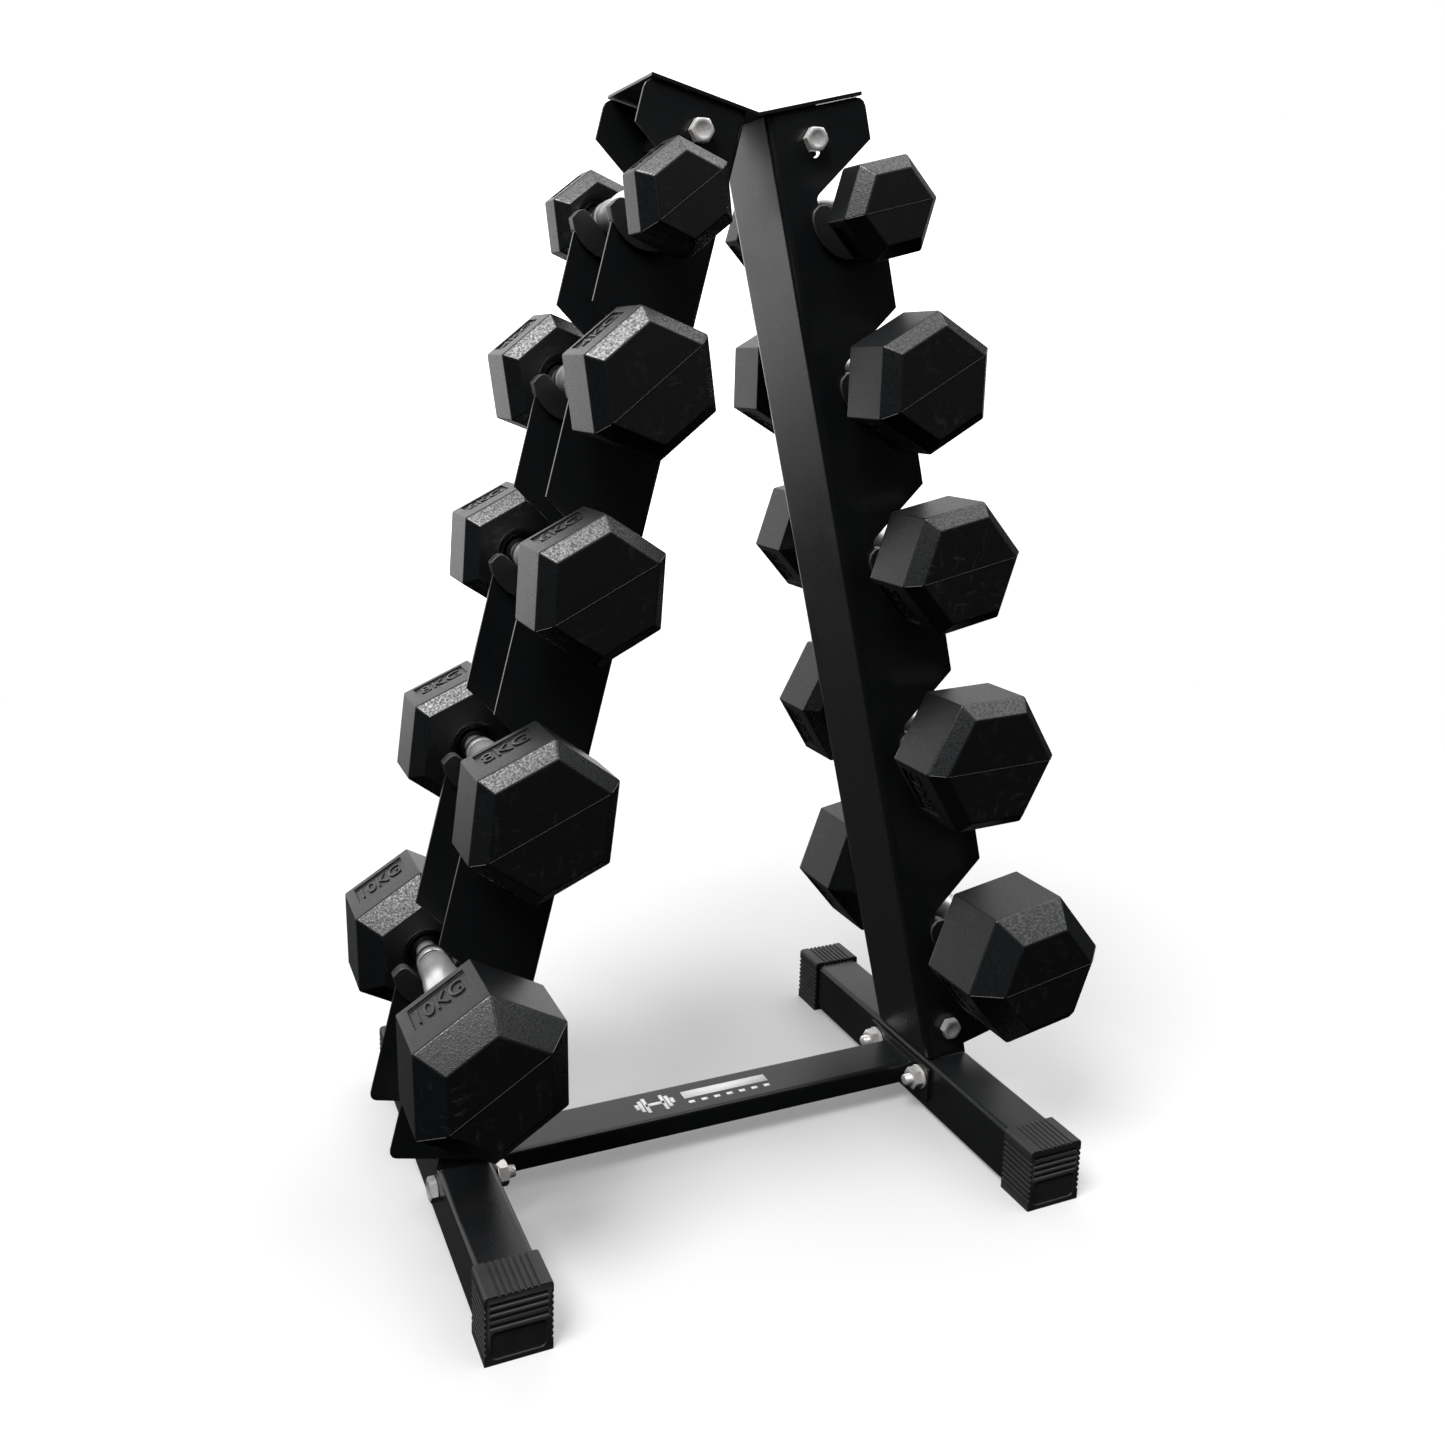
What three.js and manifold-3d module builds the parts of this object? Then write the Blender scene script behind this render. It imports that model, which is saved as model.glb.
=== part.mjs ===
// A two-sided dumbbell rack. Two folded-steel uprights lean together into an A, stand on two
// tube feet joined by a crossbar, and carry five pairs of hexagonal dumbbells in plastic saddles.
// Millimetres. +Z is up, +X points to the rack's right side, -Y is its front, the floor is z = 0.
import * as THREE from "three";
import Module from "manifold-3d";
import { mergeVertices } from "three/addons/utils/BufferGeometryUtils.js";

const wasm = await Module();
wasm.setup();

// ---------------------------------------------------------------------------------------
// Driving dimensions
// ---------------------------------------------------------------------------------------
const SIDES = { left: -1, right: 1 };
const ENDS = { front: -1, rear: 1 };
const GAP = 0.3; // play between pieces that are fitted together

// Each upright is a channel with its web towards the middle of the rack. Places on it are given
// as "out", the distance outward from the web, and "up", the distance along the upright.
const LEAN = 13.85; // degrees that an upright leans in from the vertical
const UPRIGHT = { footX: 208.9, footZ: 56.1, bottom: -3.5, top: 839.6, depth: 80, flange: 87 };
const SHEET = 2.5; // thickness of the uprights' sheet, and of the tubes' walls
const BEND = 6; // outside radius of the uprights' folds

// A tooth of the flange hangs over each notch. Its point's height along the upright sets the tier.
const TIERS = [
  { tooth: 806.6, head: 72, face: 52, bevel: 10.5, length: 206, roll: { left: 8, right: -16 } },
  { tooth: 673.9, head: 94, face: 74, bevel: 10.5, length: 248, roll: { left: 9, right: 0 } },
  { tooth: 525.4, head: 96, face: 76, bevel: 10.5, length: 249, roll: { left: -3, right: -18 } },
  { tooth: 356.1, head: 108, face: 87, bevel: 10.5, length: 250, roll: { left: -6.5, right: -28 } },
  { tooth: 171.4, head: 114.5, face: 77, bevel: 18, length: 298, roll: { left: 1.5, right: -20 } },
];
// In a tier: head and face are the widths across the flats of a head and of its end face, bevel is
// the length of the slope between them, length is the dumbbell's, and roll is how far it has turned.

// The notch and its saddle, measured from the point of the tooth.
const SEAT = { out: 58.5, drop: 52, radius: 27.5 }; // the round floor of the notch
const TOOTH_SLOPE = 31; // degrees from square to the upright
const LIFT_SLOPE = 35; // the way a dumbbell leaves, from square to the upright
const HORN_ANGLE = -38; // where the seat ends, below the outward direction
const SADDLE = { inner: 16, outer: 36, thickness: 9, tipOut: 85.5, tipRadius: 6.5 };
const SADDLE_ENDS = { lobeAngle: -20, endAngle: 176 }; // where its outside starts and ends

const HANDLE = { seat: 14, neck: 11, middle: 17, boss: 14, halfLength: 60 };

const TUBE = { width: 45, height: 48, floor: 3, radius: 4, halfLength: 173 };
const FOOT_X = 232; // from the middle of the rack to the middle of a foot
const CAP = { width: 51, height: 54, length: 32, front: 176.4, endWall: 3 };
const CROSSBAR = { width: 40, height: 20, floor: 20, radius: 3 };
const END_PLATE = { width: 90, thickness: 3, bottom: 14, height: 33 };
const STUB = { out: 40, depth: 74, radius: 4 }; // the box that fits inside a channel's end
const FOOT_STUB = { out: 3.2, top: 48 };
const BRACKET = { out: 7, bottom: 808, underside: 840, plate: 3, reach: 84, depth: 84 };

const BOLT = { radius: 5, hole: 5.5, head: 17, headHeight: 6.4, nutHeight: 8, tail: 7 };
const WASHER = { radius: 10.5, thickness: 2 };
const TOP_BOLT = { out: 36, up: 815, slot: 8 };
const FOOT_BOLT = { out: 26, up: 21 };
const CROSS_BOLT = { y: 33, z: 33 };

const HANDLE_SIDES = 14;
const BOLT_SIDES = 12;

// ---------------------------------------------------------------------------------------
// Shape tools
// ---------------------------------------------------------------------------------------
const radians = THREE.MathUtils.degToRad;
const point = (x, y) => new THREE.Vector2(x, y);

// The point at an angle and a distance from a centre.
function polar(centre, radius, degrees) {
  const angle = radians(degrees);
  return point(centre.x + radius * Math.cos(angle), centre.y + radius * Math.sin(angle));
}

function arc(centre, radius, from, to, steps) {
  return Array.from({ length: steps + 1 }, (_, i) =>
    polar(centre, radius, from + ((to - from) * i) / steps),
  );
}

// The points that round the corner between two neighbours.
function roundedCorner(before, corner, after, radius, steps = 3) {
  const back = before.clone().sub(corner).normalize();
  const ahead = after.clone().sub(corner).normalize();
  const half = Math.acos(back.dot(ahead)) / 2;
  const centre = back
    .clone()
    .add(ahead)
    .setLength(radius / Math.sin(half))
    .add(corner);
  const reach = radius / Math.tan(half);
  const start = back.multiplyScalar(reach).add(corner).sub(centre).angle();
  const end = ahead.multiplyScalar(reach).add(corner).sub(centre).angle();
  let sweep = end - start;
  if (sweep > Math.PI) sweep -= 2 * Math.PI;
  if (sweep < -Math.PI) sweep += 2 * Math.PI;
  const toDegrees = THREE.MathUtils.radToDeg;
  return arc(centre, radius, toDegrees(start), toDegrees(start + sweep), steps);
}

function roundedBox(x0, y0, x1, y1, radius) {
  const corners = [point(x0, y0), point(x1, y0), point(x1, y1), point(x0, y1)];
  return corners.flatMap((corner, i) =>
    roundedCorner(corners.at(i - 1), corner, corners[(i + 1) % 4], radius),
  );
}

// An outline in x and y, with an optional hole, drawn out along z.
function column(outline, z0, z1, hole) {
  const shape = new THREE.Shape(outline);
  if (hole) shape.holes.push(new THREE.Path(hole));
  const geometry = new THREE.ExtrudeGeometry(shape, { depth: z1 - z0, bevelEnabled: false });
  return geometry.translate(0, 0, z0);
}

// An outline in x and z, with an optional hole, drawn out along y.
function slab(outline, y0, y1, hole) {
  return column(outline, 0, y1 - y0, hole)
    .rotateX(Math.PI / 2)
    .translate(0, y1, 0);
}

const boxSlab = (x0, z0, x1, z1, y0, y1) =>
  slab([point(x0, z0), point(x1, z0), point(x1, z1), point(x0, z1)], y0, y1);

// A rod along y through the given x and z.
function rod(x, z, radius, y0, y1) {
  const cylinder = new THREE.CylinderGeometry(radius, radius, y1 - y0, BOLT_SIDES);
  return cylinder.translate(x, (y0 + y1) / 2, z);
}

function toSolid(geometry) {
  const bare = new THREE.BufferGeometry();
  bare.setAttribute("position", geometry.getAttribute("position"));
  bare.setIndex(geometry.index);
  const merged = mergeVertices(bare, 1e-4);
  return new wasm.Manifold(
    new wasm.Mesh({
      numProp: 3,
      vertProperties: new Float32Array(merged.getAttribute("position").array),
      triVerts: new Uint32Array(merged.index.array),
    }),
  );
}

function toGeometry(solid) {
  const { vertProperties, triVerts } = solid.getMesh();
  const geometry = new THREE.BufferGeometry();
  geometry.setAttribute("position", new THREE.BufferAttribute(vertProperties, 3));
  geometry.setIndex(new THREE.BufferAttribute(triVerts, 1));
  const faceted = geometry.toNonIndexed();
  faceted.computeVertexNormals();
  return faceted;
}

const combine = (operation, first, others) =>
  toGeometry(
    others.reduce((made, next) => made[operation](toSolid(next)), toSolid(first)),
  );
const join = (first, ...others) => combine("add", first, others);
const cut = (first, ...others) => combine("subtract", first, others);
const keepInside = (first, ...others) => combine("intersect", first, others);

// Moves a shape drawn in out, y and up on to the right-hand upright.
const onUpright = new THREE.Matrix4()
  .makeTranslation(UPRIGHT.footX, 0, UPRIGHT.footZ)
  .multiply(new THREE.Matrix4().makeRotationY(radians(-LEAN)));
const leaned = (geometry) => geometry.applyMatrix4(onUpright);

// The x and z of a place on the right-hand upright.
function uprightPoint(out, up) {
  const place = new THREE.Vector3(out, 0, up).applyMatrix4(onUpright);
  return point(place.x, place.z);
}

// ---------------------------------------------------------------------------------------
// Uprights
// ---------------------------------------------------------------------------------------
// The edge of one notch from the flange's outer edge, round the seat and up to the point of
// the tooth, drawn inside the notch by the given gap. Heights are from the point of the tooth.
function notchEdge(gap) {
  const seat = point(SEAT.out, -SEAT.drop);
  const radius = SEAT.radius - gap;
  const horn = polar(seat, radius, HORN_ANGLE);
  const edge = UPRIGHT.flange + gap;
  const hornEdge = point(edge, horn.y - (edge - horn.x) * 0.3);
  const back = seat.x - radius;
  const slope = Math.tan(radians(TOOTH_SLOPE));
  const toothLine = (out) => (out - UPRIGHT.flange) * slope - gap / Math.cos(radians(TOOTH_SLOPE));
  const tooth = point(edge, toothLine(edge));
  const corner = point(back, toothLine(back));
  const floor = arc(seat, radius, HORN_ANGLE, -180, 10);
  return [hornEdge, ...floor, ...roundedCorner(floor.at(-1), corner, tooth, 6), tooth];
}

function uprightGeometry() {
  const half = UPRIGHT.depth / 2;
  const channelCorners = [
    [point(UPRIGHT.flange, -half), 0],
    [point(UPRIGHT.flange, SHEET - half), 0],
    [point(SHEET, SHEET - half), BEND - SHEET],
    [point(SHEET, half - SHEET), BEND - SHEET],
    [point(UPRIGHT.flange, half - SHEET), 0],
    [point(UPRIGHT.flange, half), 0],
    [point(0, half), BEND],
    [point(0, -half), BEND],
  ];
  const channel = channelCorners.flatMap(([corner, radius], i) => {
    const before = channelCorners.at(i - 1)[0];
    const after = channelCorners[(i + 1) % channelCorners.length][0];
    return radius > 0 ? roundedCorner(before, corner, after, radius) : [corner];
  });
  const bottomInner = point(-1, UPRIGHT.bottom);
  const bottomOuter = point(UPRIGHT.flange, UPRIGHT.bottom);
  const topOuter = point(UPRIGHT.flange, UPRIGHT.top);
  const topInner = point(-1, UPRIGHT.top);
  const profile = [
    bottomInner,
    ...roundedCorner(bottomInner, bottomOuter, topOuter, 6),
    ...TIERS.toReversed().flatMap(({ tooth }) =>
      notchEdge(0).map(({ x, y }) => point(x, y + tooth)),
    ),
    ...roundedCorner(bottomOuter, topOuter, topInner, 8),
    topInner,
  ];
  const slot = roundedBox(
    TOP_BOLT.out - BOLT.hole,
    TOP_BOLT.up - TOP_BOLT.slot - BOLT.hole,
    TOP_BOLT.out + BOLT.hole,
    TOP_BOLT.up + BOLT.hole,
    BOLT.hole - 0.1,
  );
  const notched = keepInside(
    column(channel, UPRIGHT.bottom, UPRIGHT.top),
    slab(profile, -half - 1, half + 1),
  );
  return leaned(
    cut(
      notched,
      slab(slot, -half - 1, half + 1),
      rod(FOOT_BOLT.out, FOOT_BOLT.up, BOLT.hole, -half - 1, half + 1),
    ),
  );
}

// ---------------------------------------------------------------------------------------
// Saddles
// ---------------------------------------------------------------------------------------
// A saddle is a C that is open outward and straddles the flange, so its groove takes the sheet.
function saddleGeometry(tooth) {
  const seat = point(SEAT.out, -SEAT.drop);
  const { inner, outer } = SADDLE;
  const { lobeAngle, endAngle } = SADDLE_ENDS;
  const ramp = polar(seat, inner, LIFT_SLOPE - 90);
  const rise = (SADDLE.tipOut - ramp.x) * Math.tan(radians(LIFT_SLOPE));
  const tip = point(SADDLE.tipOut, ramp.y + rise);
  const lobe = polar(seat, outer, lobeAngle);
  const end = polar(seat, (inner + outer) / 2, endAngle);
  const outline = [
    ...roundedCorner(ramp, tip, lobe, SADDLE.tipRadius),
    ...arc(seat, outer, lobeAngle, endAngle - 360, 11),
    ...arc(end, (outer - inner) / 2, endAngle, endAngle - 180, 5).slice(1, -1),
    ...arc(seat, inner, endAngle - 360, LIFT_SLOPE - 90, 7),
  ];
  const groove = [
    point(0, -90),
    point(UPRIGHT.flange + GAP, -90),
    ...notchEdge(GAP),
    point(UPRIGHT.flange + GAP, 5),
    point(0, 5),
  ];
  const grooveHalf = SHEET / 2 + GAP;
  const half = SADDLE.thickness / 2;
  const body = cut(slab(outline, -half, half), slab(groove, -grooveHalf, grooveHalf));
  return body.translate(0, 0, tooth);
}

// ---------------------------------------------------------------------------------------
// Dumbbells
// ---------------------------------------------------------------------------------------
// The handle lies on the saddle's floor, straight below the middle of the saddle's C.
function handleCentre(tooth) {
  const seat = uprightPoint(SEAT.out, tooth - SEAT.drop);
  return point(seat.x, seat.y - (SADDLE.inner - HANDLE.seat - GAP));
}

function dumbbellGeometry({ head, face, bevel, length }, roll) {
  const across = (flats) => flats / Math.sqrt(3);
  const start = HANDLE.halfLength;
  const end = length / 2;
  const headProfile = [
    point(0, start),
    point(across(face), start),
    point(across(head), start + bevel),
    point(across(head), end - bevel),
    point(across(face), end),
    point(0, end),
  ];
  const handleHalf = [
    point(HANDLE.middle, 6),
    point(HANDLE.seat, 31),
    point(HANDLE.seat, 46),
    point(HANDLE.neck, 49),
    point(HANDLE.neck, start - 3),
    point(HANDLE.boss, start - 2.5),
    point(HANDLE.boss, start + 2),
    point(0, start + 2),
  ];
  const mirrored = handleHalf.map(({ x, y }) => point(x, -y)).toReversed();
  const handle = new THREE.LatheGeometry([...mirrored, ...handleHalf], HANDLE_SIDES);
  const front = new THREE.LatheGeometry(headProfile, 6).rotateY(radians(-roll));
  const rear = front.clone().rotateZ(Math.PI).rotateY(radians(-2 * roll));
  return join(handle, front, rear);
}

// ---------------------------------------------------------------------------------------
// Feet, crossbar and top bracket
// ---------------------------------------------------------------------------------------
// The box that sits inside a channel's end, as a tube standing along the upright.
function stubGeometry(out, bottom, top) {
  const half = STUB.depth / 2;
  const outer = roundedBox(out, -half, out + STUB.out, half, STUB.radius);
  const inner = roundedBox(
    out + SHEET,
    SHEET - half,
    out + STUB.out - SHEET,
    half - SHEET,
    STUB.radius - SHEET,
  );
  return column(outer, bottom, top, inner);
}

function footGeometry() {
  const { width, height, floor, radius, halfLength } = TUBE;
  const top = floor + height;
  const [x0, x1] = [FOOT_X - width / 2, FOOT_X + width / 2];
  const outer = roundedBox(x0, floor, x1, top, radius);
  const inner = roundedBox(x0 + SHEET, floor + SHEET, x1 - SHEET, top - SHEET, radius - SHEET);
  const tube = slab(outer, -halfLength, halfLength, inner);
  const stub = cut(
    leaned(stubGeometry(FOOT_STUB.out, -25, FOOT_STUB.top)),
    boxSlab(x0 - 30, -20, x1 + 30, top - 1, -STUB.depth, STUB.depth),
  );
  const footBolt = leaned(rod(FOOT_BOLT.out, FOOT_BOLT.up, BOLT.hole, -STUB.depth, STUB.depth));
  const crossBolts = Object.values(ENDS).map((end) =>
    rod(0, 0, BOLT.hole, -width, width)
      .rotateZ(Math.PI / 2)
      .translate(FOOT_X, end * CROSS_BOLT.y, CROSS_BOLT.z),
  );
  return cut(join(tube, stub), footBolt, ...crossBolts);
}

// A ribbed sleeve over a tube's end. It is drawn for the front end.
function capGeometry() {
  const { width, height, length, front, endWall } = CAP;
  const [ribs, pitch, groove, depth] = [8, 4.8, 2.2, 1.3];
  const half = width / 2;
  const sideGrooves = Array.from({ length: ribs }, (_, i) => 9 + i * pitch);
  const topGrooves = Array.from({ length: 7 }, (_, i) => (i - 3) * pitch);
  const right = sideGrooves.flatMap((z) => [
    point(half, z),
    point(half - depth, z + 0.4),
    point(half - depth, z + groove - 0.4),
    point(half, z + groove),
  ]);
  const top = topGrooves.toReversed().flatMap((x) => [
    point(x + groove / 2, height),
    point(x + groove / 2 - 0.4, height - depth),
    point(x - groove / 2 + 0.4, height - depth),
    point(x - groove / 2, height),
  ]);
  const left = right.map(({ x, y }) => point(-x, y)).toReversed();
  const outline = [
    point(-half, 0),
    point(half, 0),
    ...right,
    ...roundedCorner(point(half, 0), point(half, height), point(-half, height), 3),
    ...top,
    ...roundedCorner(point(half, height), point(-half, height), point(-half, 0), 3),
    ...left,
  ];
  const socket = roundedBox(
    -TUBE.width / 2 - GAP,
    TUBE.floor - GAP,
    TUBE.width / 2 + GAP,
    TUBE.floor + TUBE.height + GAP,
    TUBE.radius,
  );
  const facePanel = roundedBox(5 - half, 4, half - 5, 25, 4);
  const faceGrooves = Array.from({ length: 4 }, (_, i) =>
    boxSlab(4 - half, 28.5 + i * 5.4, half - 4, 31.7 + i * 5.4, -front - 1, 1 - front),
  );
  return cut(
    slab(outline, -front, length - front),
    slab(socket, endWall - front, length - front + 1),
    slab(facePanel, -front - 1, 1 - front),
    ...faceGrooves,
  );
}

function crossbarGeometry() {
  const { width, height, floor, radius } = CROSSBAR;
  const inside = FOOT_X - TUBE.width / 2 - GAP;
  const lengthwise = (outline, x0, x1, hole) =>
    column(outline, x0, x1, hole).applyMatrix4(
      new THREE.Matrix4().set(0, 0, 1, 0, 1, 0, 0, 0, 0, 1, 0, 0, 0, 0, 0, 1),
    );
  const plates = Object.values(SIDES).map((side) => {
    const middle = side * (inside - END_PLATE.thickness / 2);
    const half = END_PLATE.thickness / 2;
    const { width: wide, bottom, height: tall } = END_PLATE;
    return lengthwise(
      roundedBox(-wide / 2, bottom, wide / 2, bottom + tall, 3),
      middle - half,
      middle + half,
    );
  });
  const bar = lengthwise(
    roundedBox(-width / 2, floor, width / 2, floor + height, radius),
    1 - inside,
    inside - 1,
    roundedBox(
      SHEET - width / 2,
      floor + SHEET,
      width / 2 - SHEET,
      floor + height - SHEET,
      radius - SHEET,
    ),
  );
  // The two outer holes take bolts. The middle one lets air out of the bar as its plates are welded.
  const holes = [
    [-CROSS_BOLT.y, CROSS_BOLT.z],
    [0, floor + height / 2],
    [CROSS_BOLT.y, CROSS_BOLT.z],
  ].map(([y, z]) =>
    rod(0, 0, BOLT.hole, -FOOT_X, FOOT_X)
      .rotateZ(Math.PI / 2)
      .translate(0, y, z),
  );
  return cut(join(bar, ...plates), ...holes);
}

// A V of plate over the tops of both uprights, with a box under each wing inside the channel.
function topBracketGeometry() {
  const upper = BRACKET.underside + BRACKET.plate;
  const middleOut = (up) =>
    (up * Math.sin(radians(LEAN)) - UPRIGHT.footX) / Math.cos(radians(LEAN));
  const rightHalf = [
    uprightPoint(middleOut(BRACKET.underside), BRACKET.underside),
    uprightPoint(BRACKET.reach, BRACKET.underside),
    uprightPoint(BRACKET.reach, upper),
    uprightPoint(middleOut(upper), upper),
  ];
  const leftHalf = rightHalf
    .slice(1, 3)
    .toReversed()
    .map(({ x, y }) => point(-x, y));
  const plate = slab([...rightHalf, ...leftHalf], -BRACKET.depth / 2, BRACKET.depth / 2);
  const stub = leaned(stubGeometry(BRACKET.out, BRACKET.bottom, BRACKET.underside + 1));
  const hole = leaned(rod(TOP_BOLT.out, TOP_BOLT.up, BOLT.hole, -STUB.depth, STUB.depth));
  const rightStub = cut(stub, hole);
  return join(plate, rightStub, mirroredX(rightStub));
}

// A mirror image in x, with its faces turned back to point outward.
function mirroredX(geometry) {
  const solid = toSolid(geometry);
  const { vertProperties, triVerts } = solid.getMesh();
  const positions = vertProperties.map((value, i) => (i % 3 === 0 ? -value : value));
  const image = new THREE.BufferGeometry();
  image.setAttribute("position", new THREE.BufferAttribute(positions, 3));
  image.setIndex(new THREE.BufferAttribute(triVerts.toReversed(), 1));
  return image.toNonIndexed();
}

// ---------------------------------------------------------------------------------------
// Fasteners, drawn along y with the head at the front
// ---------------------------------------------------------------------------------------
function hexagon(flats) {
  return arc(point(0, 0), flats / Math.sqrt(3), 0, 300, 5);
}

// The grip is the distance from under the head to the face that the nut presses on.
function boltGeometry(grip) {
  const head = slab(hexagon(BOLT.head), -BOLT.headHeight, 0);
  return join(head, rod(0, 0, BOLT.radius, -1, grip + BOLT.nutHeight + BOLT.tail));
}

function ringGeometry(outline, height) {
  const hole = arc(point(0, 0), BOLT.radius + GAP, 0, 330, 11);
  return slab(outline, 0, height, hole);
}

const nutGeometry = () => ringGeometry(hexagon(BOLT.head), BOLT.nutHeight);
const washerGeometry = () =>
  ringGeometry(arc(point(0, 0), WASHER.radius, 0, 340, 17), WASHER.thickness);

// ---------------------------------------------------------------------------------------
// Assembly
// ---------------------------------------------------------------------------------------
const rack = new THREE.Group();
rack.name = "dumbbell_rack";

const finish = (color, metalness, roughness) => ({ color, metalness, roughness });
const POWDER_COAT = finish(0x1b1b1e, 0.4, 0.45);
const BLACK_PLASTIC = finish(0x151517, 0, 0.5);
const RUBBER = finish(0x1e1e20, 0, 0.7);
const ZINC = finish(0xc9ccd0, 1, 0.3);

// Adds one named piece. The shape is drawn for the right side and mirrored to the left.
function add(name, geometry, look, side = 1) {
  const mesh = new THREE.Mesh(geometry, new THREE.MeshStandardMaterial(look));
  mesh.name = name;
  mesh.scale.x = side;
  rack.add(mesh);
  return mesh;
}

for (const [sideName, side] of Object.entries(SIDES)) {
  add(`upright_${sideName}`, uprightGeometry(), POWDER_COAT, side);
  add(`foot_${sideName}`, footGeometry(), POWDER_COAT, side);

  for (const [endName, end] of Object.entries(ENDS)) {
    const cap = capGeometry();
    if (end > 0) cap.rotateZ(Math.PI);
    add(`end_cap_${sideName}_${endName}`, cap.translate(FOOT_X, 0, 0), BLACK_PLASTIC, side);

    // Across the foot: head outside, washer and nut against the crossbar's end plate.
    const corner = `${sideName}_${endName}`;
    const outside = FOOT_X + TUBE.width / 2 + GAP;
    const inside = FOOT_X - TUBE.width / 2 - GAP - END_PLATE.thickness - GAP;
    const washerEnd = inside - WASHER.thickness - GAP;
    const across = (geometry, x) =>
      geometry.rotateZ(Math.PI / 2).translate(x, end * CROSS_BOLT.y, CROSS_BOLT.z);
    const bolt = across(boltGeometry(outside - washerEnd), outside);
    add(`crossbar_bolt_${corner}`, bolt, ZINC, side);
    add(`crossbar_washer_${corner}`, across(washerGeometry(), inside), ZINC, side);
    add(`crossbar_nut_${corner}`, across(nutGeometry(), washerEnd), ZINC, side);
  }

  // Through both flanges: head at the front, nut at the rear.
  const flangeFace = UPRIGHT.depth / 2 + GAP;
  for (const [level, { out, up }] of Object.entries({ top: TOP_BOLT, foot: FOOT_BOLT })) {
    const bolt = boltGeometry(2 * flangeFace).translate(out, -flangeFace, up);
    const nut = nutGeometry().translate(out, flangeFace, up);
    add(`${level}_bolt_${sideName}`, leaned(bolt), ZINC, side);
    add(`${level}_nut_${sideName}`, leaned(nut), ZINC, side);
  }

  // Tier 1 is the top one.
  TIERS.forEach((tier, i) => {
    for (const [endName, end] of Object.entries(ENDS)) {
      const flangeMiddle = end * (UPRIGHT.depth / 2 - SHEET / 2);
      const saddle = saddleGeometry(tier.tooth).translate(0, flangeMiddle, 0);
      add(`saddle_${sideName}_${i + 1}_${endName}`, leaned(saddle), BLACK_PLASTIC, side);
    }
    const centre = handleCentre(tier.tooth);
    const dumbbell = dumbbellGeometry(tier, side * tier.roll[sideName]);
    dumbbell.translate(centre.x, 0, centre.y);
    add(`dumbbell_${sideName}_${i + 1}`, dumbbell, RUBBER, side);
  });
}
add("crossbar", crossbarGeometry(), POWDER_COAT);
add("top_bracket", topBracketGeometry(), POWDER_COAT);

export default rack;
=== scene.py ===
"""The looks of a two-sided dumbbell rack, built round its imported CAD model.

Metres, +Z up, -Y is the rack's front. Places and sizes come from the CAD nodes.
"""

import math

import bmesh
import bpy
from mathutils import Matrix, Vector


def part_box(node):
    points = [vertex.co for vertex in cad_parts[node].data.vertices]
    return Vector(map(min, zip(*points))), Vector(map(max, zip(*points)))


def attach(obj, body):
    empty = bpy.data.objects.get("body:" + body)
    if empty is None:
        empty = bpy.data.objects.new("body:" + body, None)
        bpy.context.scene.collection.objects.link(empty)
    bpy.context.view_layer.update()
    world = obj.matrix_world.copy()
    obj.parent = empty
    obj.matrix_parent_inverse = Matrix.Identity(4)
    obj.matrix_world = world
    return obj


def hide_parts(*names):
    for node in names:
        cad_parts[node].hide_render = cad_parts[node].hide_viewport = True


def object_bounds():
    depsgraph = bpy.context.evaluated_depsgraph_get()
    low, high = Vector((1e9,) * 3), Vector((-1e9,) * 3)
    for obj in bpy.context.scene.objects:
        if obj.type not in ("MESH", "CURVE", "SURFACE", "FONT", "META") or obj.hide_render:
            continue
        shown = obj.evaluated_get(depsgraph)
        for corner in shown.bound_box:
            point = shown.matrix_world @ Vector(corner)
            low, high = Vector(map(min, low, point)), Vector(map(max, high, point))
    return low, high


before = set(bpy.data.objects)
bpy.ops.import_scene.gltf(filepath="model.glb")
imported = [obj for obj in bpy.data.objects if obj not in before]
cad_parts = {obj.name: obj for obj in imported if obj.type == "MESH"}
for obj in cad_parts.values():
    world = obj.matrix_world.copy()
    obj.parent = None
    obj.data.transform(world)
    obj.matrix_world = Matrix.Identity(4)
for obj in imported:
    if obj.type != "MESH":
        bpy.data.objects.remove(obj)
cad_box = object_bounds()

SIDES = {"left": -1, "right": 1}
ENDS = {"front": -1, "rear": 1}
WEIGHTS = (2, 4, 6, 8, 10)  # kilograms, from the top tier down
TIERS = range(1, len(WEIGHTS) + 1)
MM = 0.001
CLOSE = 0.01 * MM  # two lengths this near each other count as equal
ALONG_Y = (0, 1, 0)
FLOOR_RADIUS = 1.8

# ----------------------------------------------------------------------------------------
# Materials
# ----------------------------------------------------------------------------------------

NOISE_RANGE = (0.3, 0.7)  # what most of a noise texture's values lie in
RUBBER_SPECULAR = 0.45


def mapped(tree, source, old, new, smooth=False):
    """Maps the range old of a value to the range new, held at both ends."""
    node = tree.nodes.new("ShaderNodeMapRange")
    if smooth:
        node.interpolation_type = "SMOOTHSTEP"
    for socket, value in zip(list(node.inputs)[1:5], (*old, *new)):
        socket.default_value = value
    tree.links.new(source, node.inputs["Value"])
    return node.outputs["Result"]


def combined(tree, operation, first, second):
    """The result of an operation on two node outputs."""
    node = tree.nodes.new("ShaderNodeMath")
    node.operation = operation
    tree.links.new(first, node.inputs[0])
    tree.links.new(second, node.inputs[1])
    return node.outputs["Value"]


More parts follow.
